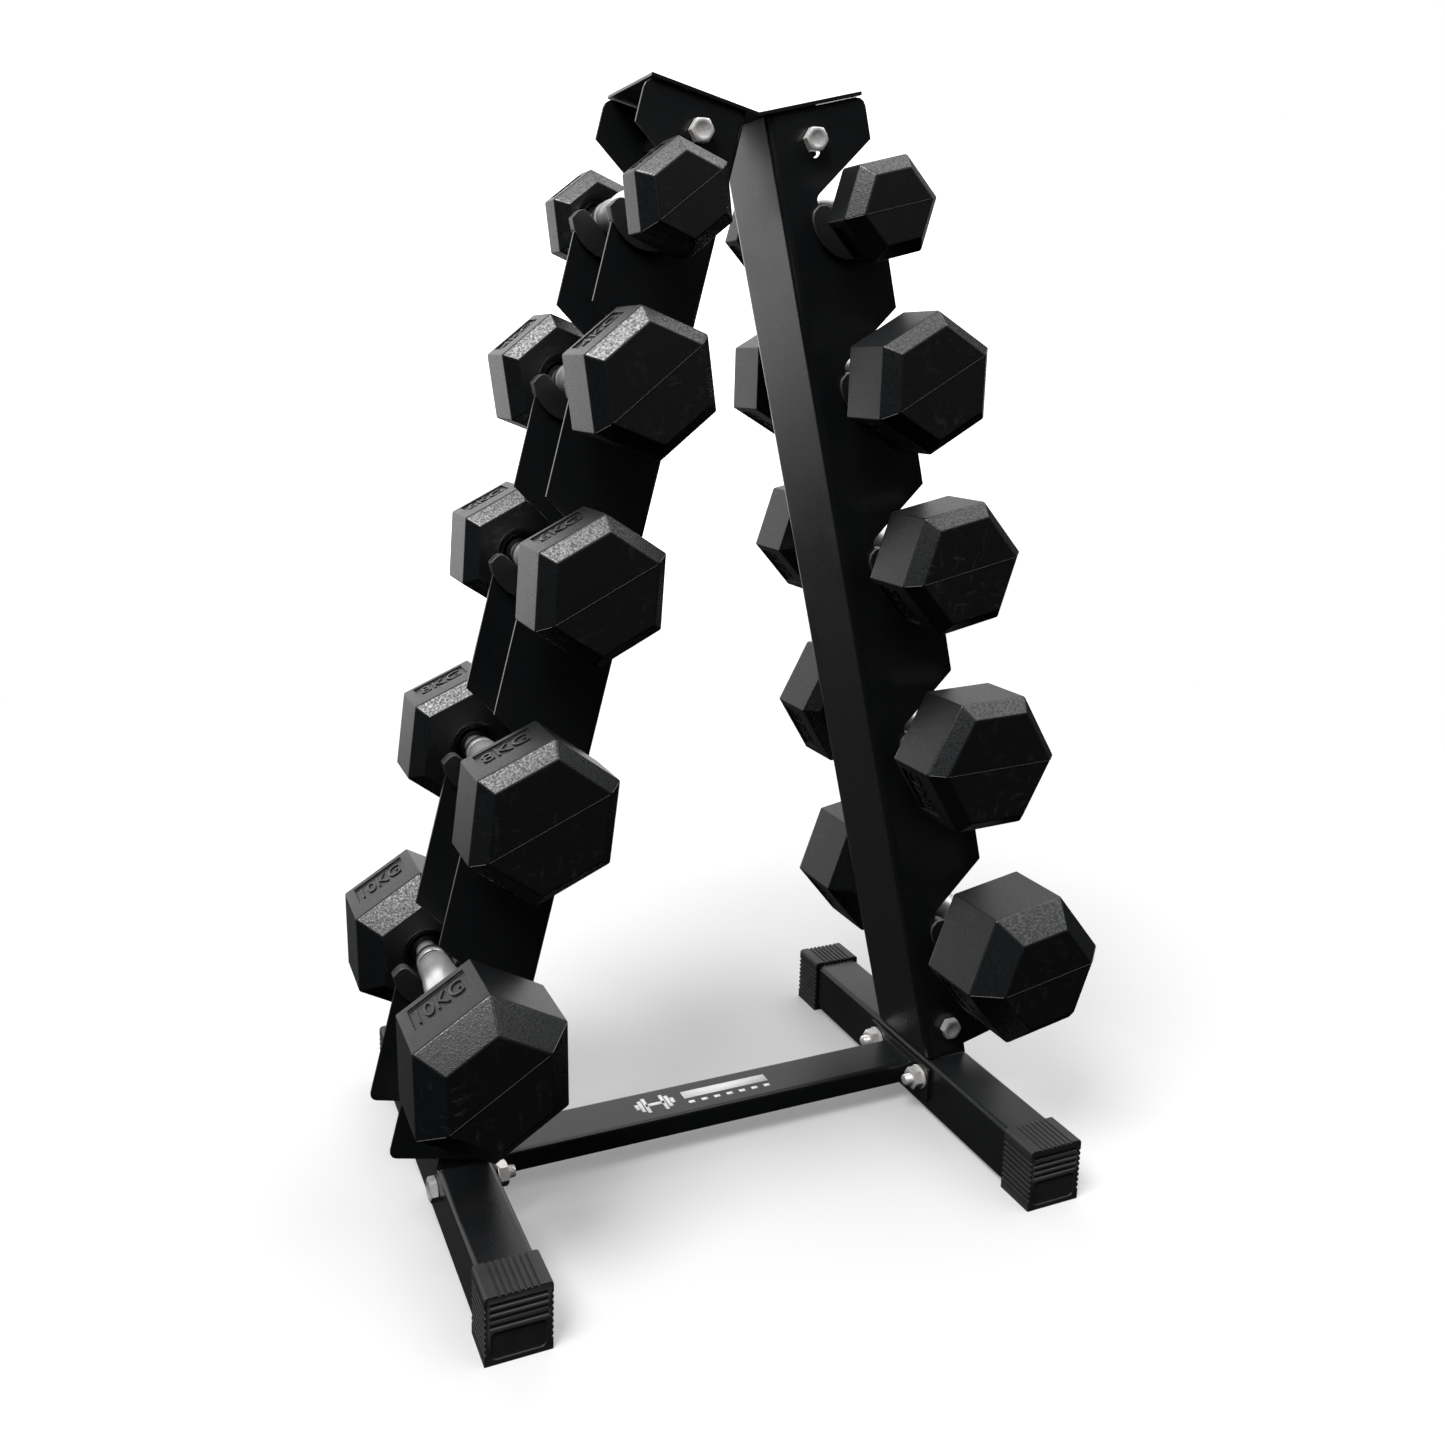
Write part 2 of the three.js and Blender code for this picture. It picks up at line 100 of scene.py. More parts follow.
class Look:
    """One procedural material. Textures use object coordinates, which are metres here."""

    def __init__(self, name, roughness, metallic=0.0, specular=0.5):
        self.material = bpy.data.materials.new(name)
        self.material.use_nodes = True
        self.tree = self.material.node_tree
        self.shader = self.tree.nodes["Principled BSDF"]
        self.shader.inputs["Roughness"].default_value = roughness
        self.shader.inputs["Metallic"].default_value = metallic
        self.shader.inputs["Specular IOR Level"].default_value = specular
        self.place = self.add("ShaderNodeTexCoord").outputs["Object"]
        self.height = None

    def add(self, kind, **values):
        """A new node with the given input values."""
        node = self.tree.nodes.new(kind)
        for name, value in values.items():
            node.inputs[name].default_value = value
        return node

    def stretched(self, scale):
        """Object coordinates multiplied by a scale for each axis."""
        node = self.add("ShaderNodeMapping", Scale=scale)
        self.tree.links.new(self.place, node.inputs["Vector"])
        return node.outputs["Vector"]

    def noise(self, scale, detail=3.0, roughness=0.5, place=None):
        """A noise from 0 to 1. Scale is how many of its features fit in a metre."""
        node = self.add("ShaderNodeTexNoise", Scale=scale, Detail=detail, Roughness=roughness)
        self.tree.links.new(place or self.place, node.inputs["Vector"])
        return node.outputs["Fac"]

    def edges(self, low, high):
        """1 on convex edges and 0 on flats."""
        geometry = self.add("ShaderNodeNewGeometry")
        return self.share(geometry.outputs["Pointiness"], low, high)

    def share(self, source, low, high):
        """0 where a value is below low, 1 where it is above high."""
        return mapped(self.tree, source, (low, high), (0.0, 1.0))

    def colour(self, factor, low, high):
        """Base colour from low to high by a factor. Low is None for the colour made so far."""
        node = self.tree.nodes.new("ShaderNodeMix")
        node.data_type = "RGBA"
        before = self.shader.inputs["Base Color"].links
        ends = [s for s in node.inputs if s.type == "RGBA"]
        if low is None:
            self.tree.links.new(before[0].from_socket, ends[0])
        else:
            ends[0].default_value = (*low, 1.0)
        ends[1].default_value = (*high, 1.0)
        self.tree.links.new(factor, node.inputs["Factor"])
        result = next(s for s in node.outputs if s.type == "RGBA")
        self.tree.links.new(result, self.shader.inputs["Base Color"])

    def vary(self, socket, noise, low, high):
        """A number of the shader that follows a noise, from low to high."""
        value = mapped(self.tree, noise, NOISE_RANGE, (low, high))
        self.tree.links.new(value, self.shader.inputs[socket])

    def roughness(self, noise, low, high):
        self.vary("Roughness", noise, low, high)

    def gloss(self, noise, low, high):
        """How strongly the surface reflects."""
        self.vary("Specular IOR Level", noise, low, high)

    def bump(self, height, distance):
        """Adds a bump to those made so far. Distance is its height in metres."""
        node = self.add("ShaderNodeBump", Distance=distance)
        self.tree.links.new(height, node.inputs["Height"])
        if self.height:
            self.tree.links.new(self.height, node.inputs["Normal"])
        self.height = node.outputs["Normal"]
        self.tree.links.new(self.height, self.shader.inputs["Normal"])


def grey(value, warmth=0.0):
    """A grey that leans to red for a warmth above 0, and to blue below it."""
    return (value * (1 + warmth), value, value * (1 - warmth))


def coat_look():
    """Satin black powder coat with a slight orange peel. Its paler edges are partly rubbed wear and
    partly a painted highlight.
    """
    look = Look("powder_coat", 0.3)
    look.colour(look.noise(9, 4), grey(0.0055, -0.1), grey(0.0095, -0.1))
    # Paler convex edges: partly rubbed wear, partly a painted highlight along every edge.
    look.colour(look.edges(0.56, 0.68), None, grey(0.06))
    look.roughness(look.noise(14, 5, 0.6), 0.24, 0.36)
    look.bump(look.noise(420, 2), 0.06 * MM)
    look.bump(look.noise(2600, 2), 0.02 * MM)
    return look.material


def plastic_look(name, roughness, shade, edge=0.05):
    """Moulded black plastic with a fine spark-eroded grain. Its paler edges are partly wear and
    partly a painted rim highlight.
    """
    look = Look(name, roughness)
    look.colour(look.noise(30, 4), grey(shade), grey(shade * 1.7))
    # Paler convex edges in the edge grey: partly wear, partly a painted rim highlight.
    look.colour(look.edges(0.54, 0.66), None, grey(edge))
    look.roughness(look.noise(60, 4), roughness - 0.06, roughness + 0.08)
    look.bump(look.noise(2400, 2), 0.05 * MM)
    return look.material


def rubber_look(name, shade, roughness, grain, depth, scuff_and_edge_highlight, sparkle):
    """Moulded rubber. Grain is the texture's scale, depth its height, scuff_and_edge_highlight how
    grey it wears and how pale its edges are (partly wear, partly a painted highlight), and sparkle
    how much the reflection varies from grain to grain.
    """
    look = Look(name, roughness, specular=RUBBER_SPECULAR)
    look.colour(look.noise(38, 5, 0.6), grey(shade, -0.15), grey(shade * 1.6, -0.15))
    streaks = look.noise(1.0, 6, 0.65, look.stretched((70, 22, 190)))
    crossed = look.noise(1.0, 6, 0.65, look.stretched((170, 30, 60)))
    strokes = combined(look.tree, "MAXIMUM", streaks, crossed)
    patches = look.share(look.noise(16, 3), 0.42, 0.7)
    rubbed = combined(look.tree, "MULTIPLY", look.share(strokes, 0.58, 0.8), patches)
    look.colour(rubbed, None, grey(scuff_and_edge_highlight))
    grains = look.noise(grain, 1)
    look.gloss(grains, RUBBER_SPECULAR - sparkle / 2, RUBBER_SPECULAR + sparkle)
    # Paler convex edges, a little lighter than the scuffs: partly wear, partly a painted highlight.
    look.colour(look.edges(0.53, 0.62), None, grey(scuff_and_edge_highlight * 1.2))
    look.roughness(grains, roughness + sparkle / 2, roughness - sparkle / 3)
    look.bump(look.noise(grain, 3, 0.6), depth)
    return look.material


def chrome_look():
    """Satin chrome with faint turning marks round the handle."""
    look = Look("satin_chrome", 0.34, metallic=0.8)
    look.colour(look.noise(60, 4), grey(0.78, 0.01), grey(0.88, 0.01))
    look.roughness(look.noise(90, 5), 0.3, 0.4)
    look.bump(look.noise(1.0, 2, place=look.stretched((60, 5200, 60))), 0.02 * MM)
    return look.material


def zinc_look():
    """Bright zinc plate, slightly clouded."""
    look = Look("zinc_plate", 0.42, metallic=0.62)
    look.colour(look.noise(260, 5, 0.6), grey(0.72, 0.03), grey(0.94, 0.02))
    look.roughness(look.noise(320, 4), 0.34, 0.5)
    look.bump(look.noise(1100, 3), 0.06 * MM)
    return look.material


def ink_look():
    """White screen print with a slightly uneven tone and film."""
    look = Look("white_print", 0.5)
    look.colour(look.noise(900, 4), grey(0.72), grey(0.86))
    look.bump(look.noise(2500, 2), 0.01 * MM)
    return look.material


def floor_look():
    """Matt pale floor with a painted glow: its emission lifts the shadows near the rack and
    brightens it into the white surroundings at its rim.
    """
    look = Look("pale_floor", 0.9, specular=0.0)
    look.colour(look.noise(0.6, 2), grey(0.435), grey(0.445))
    distance = look.tree.nodes.new("ShaderNodeVectorMath")
    distance.operation = "LENGTH"
    look.tree.links.new(look.place, distance.inputs[0])
    # Painted glow: emission that lifts the floor's shadows near the middle and grows toward the
    # rim.
    painted_floor_glow = mapped(look.tree, distance.outputs["Value"], (0.5, FLOOR_RADIUS), (0.21, 0.5))
    look.shader.inputs["Emission Color"].default_value = (1, 1, 1, 1)
    look.tree.links.new(painted_floor_glow, look.shader.inputs["Emission Strength"])
    return look.material


COAT = coat_look()
# The saddles' pale edge grey is mostly a painted rim highlight, partly wear.
SADDLE_PLASTIC = plastic_look("saddle_plastic", roughness=0.45, shade=0.007, edge=0.2)
CAP_PLASTIC = plastic_look("cap_plastic", roughness=0.56, shade=0.008)
RUBBER_FLAT = rubber_look(
    "rubber_flat",
    shade=0.0035,
    roughness=0.42,
    grain=900,
    depth=0.1 * MM,
    scuff_and_edge_highlight=0.035,
    sparkle=0.1,
)
RUBBER_SLOPE = rubber_look(
    "rubber_slope",
    shade=0.0045,
    roughness=0.32,
    grain=580,
    depth=0.12 * MM,
    scuff_and_edge_highlight=0.03,
    sparkle=0.26,
)
RUBBER_FACE = rubber_look(
    "rubber_face",
    shade=0.0015,
    roughness=0.48,
    grain=900,
    depth=0.1 * MM,
    scuff_and_edge_highlight=0.06,
    sparkle=0.1,
)
HEAD_LOOKS = [RUBBER_FLAT, RUBBER_SLOPE, RUBBER_FACE]
FLAT, SLOPE, FACE = range(3)  # their places in that list
RING_RUBBER = plastic_look("ring_rubber", roughness=0.4, shade=0.006)
CHROME = chrome_look()
ZINC = zinc_look()
INK = ink_look()

# ----------------------------------------------------------------------------------------
# Mesh tools
# ----------------------------------------------------------------------------------------


def finished_mesh(name, made):
    """Turns a bmesh into a smooth-shaded mesh with its faces pointing out."""
    bmesh.ops.recalc_face_normals(made, faces=made.faces)
    mesh = bpy.data.meshes.new(name)
    made.to_mesh(mesh)
    made.free()
    mesh.shade_smooth()
    return mesh


def piece(name, mesh, body, materials, replaced=None):
    """Adds one piece of the object."""
    shown = bpy.data.objects.new(name, mesh)
    bpy.context.scene.collection.objects.link(shown)
    for material in materials:
        mesh.materials.append(material)
    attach(shown, body)
    if replaced:
        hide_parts(replaced)
    return shown


def soften(shown, width, by_weight=False):
    """Rounds a piece's edges and keeps its flats flat."""
    bevel = shown.modifiers.new("rounded_edges", "BEVEL")
    bevel.width = width
    bevel.segments = 3
    bevel.use_clamp_overlap = False
    bevel.limit_method = "WEIGHT" if by_weight else "ANGLE"
    bevel.angle_limit = math.radians(38)
    normals = shown.modifiers.new("flat_faces", "WEIGHTED_NORMAL")
    normals.keep_sharp = True
    normals.weight = 80


def refined(node, width, material):
    """Adds a copy of a CAD node with rounded edges, which stands for it."""
    made = bmesh.new()
    made.from_mesh(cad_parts[node].data)
    bmesh.ops.remove_doubles(made, verts=made.verts, dist=CLOSE)
    flat = math.radians(1)
    bmesh.ops.dissolve_limit(made, angle_limit=flat, verts=made.verts, edges=made.edges)
    name = node + "_shell"
    shown = piece(name, finished_mesh(name, made), "rack", [material], node)
    soften(shown, width)


def turned(name, rows, segments, looped=False):
    """Rings round local Z. A row is (radius, height), or a function of the angle giving both."""
    made = bmesh.new()
    rings = []
    for row in rows:
        ring = []
        for step in range(segments):
            angle = 2 * math.pi * step / segments
            radius, height = row(angle) if callable(row) else row
            ring.append(
                made.verts.new((radius * math.cos(angle), radius * math.sin(angle), height))
            )
        rings.append(ring)
    following = rings[1:] + rings[:1] if looped else rings[1:]
    for ring, after in zip(rings, following):
        for i in range(segments):
            j = (i + 1) % segments
            made.faces.new((ring[i], ring[j], after[j], after[i]))
    if not looped:
        made.faces.new(rings[0])
        made.faces.new(rings[-1])
    mesh = finished_mesh(name, made)
    mesh.set_sharp_from_angle(angle=math.radians(34))
    return mesh


def pointing(direction):
    """The turn that brings local Z to a direction."""
    return Vector(direction).to_track_quat("Z", "Y").to_matrix().to_4x4()


# ----------------------------------------------------------------------------------------
# Frame, caps and saddles
# ----------------------------------------------------------------------------------------

FINE_EDGE = 0.35 * MM  # on the uprights' sheet and the caps' ribs
FRAME_EDGE = 0.5 * MM
SADDLE_EDGE = 0.8 * MM


def build_frame():
    """The frame, its caps and the saddles keep their CAD shapes, with rounded edges."""
    for side in SIDES:
        refined(f"upright_{side}", FINE_EDGE, COAT)
        refined(f"foot_{side}", FRAME_EDGE, COAT)
        for end in ENDS:
            refined(f"end_cap_{side}_{end}", FINE_EDGE, CAP_PLASTIC)
            for tier in TIERS:
                node = f"saddle_{side}_{tier}_{end}"
                refined(node, SADDLE_EDGE, SADDLE_PLASTIC)
    refined("crossbar", FRAME_EDGE, COAT)
    refined("top_bracket", FRAME_EDGE, COAT)


def build_mark():
    """A plain dumbbell sign, a stripe and seven dashes, printed on the crossbar's top."""
    bar_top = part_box("crossbar")[1].z - 7 * MM  # the end plates stand this much above the bar
    made = bmesh.new()
    film = 0.12 * MM
    sign_x, stripe_x = -48, 22

    def bar(x, y, width, depth):
        """A printed rectangle. Its place and size are in millimetres."""
        box = bmesh.ops.create_cube(made, size=1)["verts"]
        bmesh.ops.scale(made, verts=box, vec=(width * MM, depth * MM, 2 * film))
        bmesh.ops.translate(made, verts=box, vec=(x * MM, y * MM, bar_top))

    bar(sign_x, 0, 18, 3.4)
    for reach, depth in ((8.5, 20), (13, 15), (17, 7)):
        for direction in (-1, 1):
            bar(sign_x + direction * reach, 0, 3.6, depth)
    bar(stripe_x, 3, 84, 9.5)
    for dash in range(-3, 4):
        bar(stripe_x + 12.5 * dash, -7.5, 6, 3.2)
    name = "crossbar_mark"
    piece(name, finished_mesh(name, made), "rack", [INK])


# ----------------------------------------------------------------------------------------
# Fasteners
# ----------------------------------------------------------------------------------------

BOLT = {"flats": 17 * MM, "head": 6.4 * MM, "radius": 5 * MM, "pitch": 1.5 * MM}
NUT_HEIGHT = 8 * MM
THREAD_DEPTH = 0.8 * MM
THREAD_LENGTH = 24 * MM
FLAT_RADIUS = 0.95 * BOLT["flats"] / 2  # of the round flat on top of a hexagon
FASTENER_STEPS = 48


def hexagon_radius(angle, flats):
    """The distance from the middle of a hexagon to its edge."""
    sixth = math.pi / 3
    return flats / 2 / math.cos(angle % sixth - sixth / 2)


def chamfered(flats, height, rise):
    """A row on a hexagon's edge, with its corners turned down by a cone. Rise is 1 for the top."""
    slope = math.tan(math.radians(28))

    def row(angle):
        radius = hexagon_radius(angle, flats)
        return radius, height - rise * (radius - FLAT_RADIUS) * slope

    return row


def thread_rows(start, end, radius, pitch):
    """Rows of a right-hand thread from one height down to another."""
    steps = round((start - end) / pitch * 6)

    def row_at(height):
        def row(angle):
            phase = (height / pitch + angle / (2 * math.pi)) % 1
            return radius - THREAD_DEPTH * (1 - abs(2 * phase - 1)), height

        return row

    return [row_at(start + (end - start) * i / steps) for i in range(steps + 1)]


def bolt_mesh(name, length):
    """A hexagon-head bolt whose head's top is at 0 and whose tail points down."""
    flats, head, radius, pitch = BOLT.values()
    washer_face = 0.5 * MM
    thread_start = THREAD_LENGTH - length
    rows = [
        (0.4 * MM, -0.45 * MM),
        (FLAT_RADIUS * 0.62, -0.4 * MM),
        (FLAT_RADIUS * 0.72, 0),
        (FLAT_RADIUS, 0),
        chamfered(flats, 0, 1),
        lambda angle: (hexagon_radius(angle, flats), washer_face - head),
        (FLAT_RADIUS, washer_face - head),
        (FLAT_RADIUS, -head),
        (radius, -head),
        (radius, thread_start),
        *thread_rows(thread_start, 1.2 * MM - length, radius, pitch),
        (radius - THREAD_DEPTH, 0.4 * MM - length),
        (radius - 1.6 * MM, -length),
    ]
    return turned(name, rows, FASTENER_STEPS)


def nut_mesh(name):
    """A hexagon nut centred on its own middle."""
    flats, half, edge = BOLT["flats"], NUT_HEIGHT / 2, 0.8 * MM
    hole = BOLT["radius"] + 0.1 * MM
    rows = [
        (hole, half - edge),
        (hole + edge, half),
        (FLAT_RADIUS, half),
        chamfered(flats, half, 1),
        chamfered(flats, -half, -1),
        (FLAT_RADIUS, -half),
        (hole + edge, -half),
        (hole, edge - half),
    ]
    return turned(name, rows, FASTENER_STEPS, looped=True)


def washer_mesh(name, radius, thickness):
    """A flat washer centred on its own middle."""
    half, edge = thickness / 2, 0.25 * MM
    hole = BOLT["radius"] + 0.3 * MM
    rows = [
        (hole, half - edge),
        (hole + edge, half),
        (radius - edge, half),
        (radius, half - edge),
        (radius, edge - half),
        (radius - edge, -half),
        (hole + edge, -half),
        (hole, edge - half),
    ]
    return turned(name, rows, FASTENER_STEPS, looped=True)


def place_fastener(node, outward, make):
    """Makes a fastener along its CAD node, with its head towards the outward direction."""
    low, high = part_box(node)
    middle = (low + high) / 2
    outward = Vector(outward)
    length = abs((high - low).dot(outward))
    name = node + "_detail"
    mesh, anchor = make(name, length)
    mesh.transform(Matrix.Translation(middle + outward * anchor) @ pointing(outward))
    piece(name, mesh, "rack", [ZINC], node)


def build_fasteners():
    """Bolts, nuts and washers. Each maker gives a mesh, and how far outward from the node's
    middle the mesh's own origin goes.
    """

    def bolt(name, length):
        return bolt_mesh(name, length), length / 2

    def nut(name, length):
        return nut_mesh(name), 0

    def washer(name, length):
        return washer_mesh(name, 10.5 * MM, length), 0

    for side, sign in SIDES.items():
        for end in ENDS:
            place_fastener(f"crossbar_bolt_{side}_{end}", (sign, 0, 0), bolt)
            place_fastener(f"crossbar_washer_{side}_{end}", (sign, 0, 0), washer)
            place_fastener(f"crossbar_nut_{side}_{end}", (sign, 0, 0), nut)
        for level in ("top", "foot"):
            place_fastener(f"{level}_bolt_{side}", (0, -1, 0), bolt)
            place_fastener(f"{level}_nut_{side}", (0, -1, 0), nut)


# ----------------------------------------------------------------------------------------
# Dumbbells
# ----------------------------------------------------------------------------------------

HEAD_INNER = 60 * MM  # from the middle of the handle to the inner face of a head
DISH_DEPTH = 10 * MM
NECK_RADIUS = 8.6 * MM
GROOVE_RADIUS = 10 * MM
POCKET_DEPTH = 1.6 * MM
FIGURE_HEIGHT = 1.3 * MM
FIGURE_SUNK = 0.15  # the share of a figure's height that is below the pocket's floor
EDGE_ROUND = 1.1 * MM
SMALL_ROUND = 0.18  # the share of EDGE_ROUND on the pocket's edges
DISH_STEPS = 24
HANDLE_STEPS = 64
RINGS = {"inner": (40.5 * MM, 2.9 * MM), "outer": (50 * MM, 3.9 * MM)}  # place and width


def measured(node):
    """The middle, turn and sizes of a dumbbell, read from its CAD mesh."""
    low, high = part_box(node)
    middle = (low + high) / 2
    points = [v.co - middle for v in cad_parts[node].data.vertices]
    half = high.y - middle.y
    radius = max(math.hypot(p.x, p.z) for p in points)
    band = [p for p in points if math.hypot(p.x, p.z) > radius - CLOSE]
    turns = [math.atan2(-p.x, p.z) for p in band]
    face = max(math.hypot(p.x, p.z) for p in points if abs(p.y) > half - CLOSE)
    bevel = half - max(abs(p.y) for p in band)
    return {
        "middle": middle,
        "turn": min(turns, key=abs),
        "half": half,
        "radius": radius,
        "face": face,
        "bevel": bevel,
    }


def corner_at(radius, turn, k, y):
    """Corner k of a hexagon, counted counter-clockwise from the top as seen from the front."""
    angle = turn + k * math.pi / 3
    return Vector((-radius * math.sin(angle), y, radius * math.cos(angle)))


def head_mesh(name, size, end, marks, text):
    """One rubber head. Marks are the flats that have a pocket with the weight in it."""
    made = bmesh.new()
    weight = made.edges.layers.float.new("bevel_weight_edge")
    turn, half = size["turn"], size["half"]
    stations = [
        (size["face"], HEAD_INNER),
        (size["radius"], HEAD_INNER + size["bevel"]),
        (size["radius"], half - size["bevel"]),
        (size["face"], half),
    ]
    rings = [
        [made.verts.new(corner_at(radius, turn, k, end * y)) for k in range(6)]
        for radius, y in stations
    ]

    def add_face(corners, look):
        made.faces.new(corners).material_index = look

    for ring, after in ((rings[0], rings[1]), (rings[2], rings[3])):
        for k in range(6):
            n = (k + 1) % 6
            add_face((ring[k], ring[n], after[n], after[k]), SLOPE)
    add_face(rings[3], FACE)
    for k in range(6):
        n = (k + 1) % 6
        quad = (rings[1][k], rings[1][n], rings[2][n], rings[2][k])
        if k in marks:
            add_pocket(made, quad, turn + (k + 0.5) * math.pi / 3, text)
        else:
            add_face(quad, FLAT)
    add_dish(made, rings[0], size, end)
    bmesh.ops.recalc_face_normals(made, faces=made.faces)
    for edge in made.edges:
        if edge.calc_face_angle(0) > math.radians(25):
            edge[weight] = 1.0 if is_outer(edge, size) else SMALL_ROUND
    add_parting_ridge(made, stations, turn, end)
    return finished_mesh(name, made)


def is_outer(edge, size):
    """True for the edges between a head's hexagon corners."""
    reach = [math.hypot(v.co.x, v.co.z) for v in edge.verts]
    return all(min(abs(r - size["radius"]), abs(r - size["face"])) < CLOSE for r in reach)


def add_dish(made, rim, size, end):
    """The hollow round the handle's neck in the inner face, with a low collar in its middle."""
    wide = min(23 * MM, size["face"] * 0.8)
    rows = [
        (wide, 0),
        (wide - 1 * MM, 0.6 * MM),
        (wide - 5 * MM, DISH_DEPTH - 3 * MM),
        (wide - 7.5 * MM, DISH_DEPTH),
        (13.6 * MM, DISH_DEPTH),
        (13 * MM, DISH_DEPTH - 2 * MM),
        (12 * MM, DISH_DEPTH - 2.6 * MM),
        (NECK_RADIUS + 0.3 * MM, DISH_DEPTH - 2.6 * MM),
        (NECK_RADIUS + 0.3 * MM, DISH_DEPTH + 6 * MM),
    ]
    circles = []
    for radius, depth in rows:
        circle = [
            made.verts.new(
                corner_at(radius, size["turn"], 6 * i / DISH_STEPS, end * (HEAD_INNER + depth))
            )
            for i in range(DISH_STEPS)
        ]
        circles.append(circle)
    share = DISH_STEPS // 6
    for k in range(6):
        stretch = [circles[0][(k * share + i) % DISH_STEPS] for i in range(share + 1)]
        made.faces.new((rim[(k + 1) % 6], rim[k], *stretch)).material_index = FACE
    for circle, after in zip(circles, circles[1:]):
        for i in range(DISH_STEPS):
            j = (i + 1) % DISH_STEPS
            made.faces.new((circle[i], circle[j], after[j], after[i])).material_index = FACE
    made.faces.new(circles[-1]).material_index = FACE


def add_pocket(made, quad, angle, text):
    """Sinks a shallow rectangle into a flat, near its rear edge, with raised figures in it."""
    normal = Vector((-math.sin(angle), 0, math.cos(angle)))
    along = Vector((normal.z, 0, -normal.x))
    low_y, high_y = sorted((quad[0].co.y, quad[2].co.y))
    width = (quad[1].co - quad[0].co).length
    depth = high_y - low_y
    centre = (quad[0].co + quad[1].co + quad[2].co + quad[3].co) / 4
    rear = high_y - 0.1 * depth - centre.y
    front = rear - 0.5 * depth
    reach = 0.37 * width
    corners = [(-reach, front), (reach, front), (reach, rear), (-reach, rear)]

    def spot(corner, sink=0.0):
        return made.verts.new(
            centre + along * corner[0] + Vector((0, corner[1], 0)) - normal * sink
        )

    outer = sorted(quad, key=lambda v: math.atan2(v.co.y - centre.y, (v.co - centre).dot(along)))
    rim = [spot(corner) for corner in corners]
    floor = [spot(corner, POCKET_DEPTH) for corner in corners]
    for i in range(4):
        j = (i + 1) % 4
        made.faces.new((outer[i], outer[j], rim[j], rim[i]))
        made.faces.new((rim[i], rim[j], floor[j], floor[i]))
    made.faces.new(floor)
    letters = text_mesh(text, 1.62 * reach, 0.62 * (rear - front), FIGURE_HEIGHT)
    place = Matrix.Translation(centre + Vector((0, (front + rear) / 2, 0)) - normal * POCKET_DEPTH)
    turn = Matrix((along, Vector((0, 1, 0)), normal)).transposed().to_4x4()
    letters.transform(place @ turn)
    made.from_mesh(letters)
    bpy.data.meshes.remove(letters)


def text_mesh(text, width, height, depth):
    """Block figures of the given size, centred, standing on z = 0 and sunk a little into it."""
    curve = bpy.data.curves.new("figures", "FONT")
    curve.body = text
    curve.extrude = 0.5
    curve.resolution_u = 4
    holder = bpy.data.objects.new("figures", curve)
    bpy.context.scene.collection.objects.link(holder)
    bpy.context.view_layer.update()
    mesh = bpy.data.meshes.new_from_object(holder)
    bpy.data.objects.remove(holder)
    bpy.data.curves.remove(curve)
    xs = [v.co.x for v in mesh.vertices]
    ys = [v.co.y for v in mesh.vertices]
    middle = Vector(((min(xs) + max(xs)) / 2, (min(ys) + max(ys)) / 2, FIGURE_SUNK - 0.5))
    scale = (width / (max(xs) - min(xs)), height / (max(ys) - min(ys)), depth)
    mesh.transform(Matrix.Diagonal((*scale, 1)) @ Matrix.Translation(-middle))
    return mesh


def add_parting_ridge(made, stations, turn, end):
    """The thin line that the mould's two halves leave across the end and its slopes."""
    (band, band_y), (face, face_y) = stations[2:]
    left, right = 2, 5  # the two opposite corners that it joins
    path = [
        corner_at(band, turn, left, end * band_y),
        corner_at(face, turn, left, end * face_y),
        corner_at(face, turn, right, end * face_y),
        corner_at(band, turn, right, end * band_y),
    ]
    across = Vector((0, end, 0)).cross(path[2] - path[1]).normalized()
    outward = Vector((0, end, 0))
    width, height, sunk = 0.45 * MM, 0.28 * MM, 0.5 * MM
    inset = 1.4 * MM
    for start, finish in zip(path, path[1:]):
        way = (finish - start).normalized()
        lift = across.cross(way)
        lift = lift if lift.dot(outward) > 0 else -lift
        ends = []
        for spot in (start + way * inset, finish - way * inset):
            offsets = (-across * width - lift * sunk, lift * height, across * width - lift * sunk)
            ends.append([made.verts.new(spot + offset) for offset in offsets])
        first, last = ends
        for i in range(3):
            j = (i + 1) % 3
            made.faces.new((first[i], first[j], last[j], last[i])).material_index = FACE
        made.faces.new(first).material_index = FACE
        made.faces.new(last).material_index = FACE


def mirrored_rows(rows):
    """Rows of one half of a turned piece, with the other half's before them."""
    return [(radius, -y) for radius, y in reversed(rows)] + rows


def handle_mesh(name):
    """The turned steel handle along local Z, widest in its middle, with two grooves at each end."""
    groove, neck = GROOVE_RADIUS / MM, NECK_RADIUS / MM
    steps = 12
    grip = [
        (17 - 3 * (1 - math.cos(math.pi * i / steps)) / 2, 1 + 29 * i / steps)
        for i in range(steps + 1)
    ]
    rows = [
        *grip,
        (13.8, 37.8),
        (13.2, 38.8),
        (groove, 39),
        (groove, 42),
        (12.4, 42.2),
        (12.9, 43.2),
        (12.9, 46.6),
        (12.4, 47.8),
        (groove, 48),
        (groove, 52),
        (9.4, 52.6),
        (neck, 53.4),
        (neck, 76),
    ]
    rows = [(radius * MM, y * MM) for radius, y in rows]
    return turned(name, mirrored_rows(rows), HANDLE_STEPS)


def ring_mesh(name, width):
    """A black rubber ring in one of the handle's grooves, centred on its own middle."""
    edge = width / 2
    side = edge - 0.4 * MM
    outer = [(11.6 * MM, -edge), (12.6 * MM, -side), (12.6 * MM, side), (11.6 * MM, edge)]
    hole = GROOVE_RADIUS + 0.05 * MM
    return turned(name, [*outer, (hole, edge), (hole, -edge)], HANDLE_STEPS, looped=True)


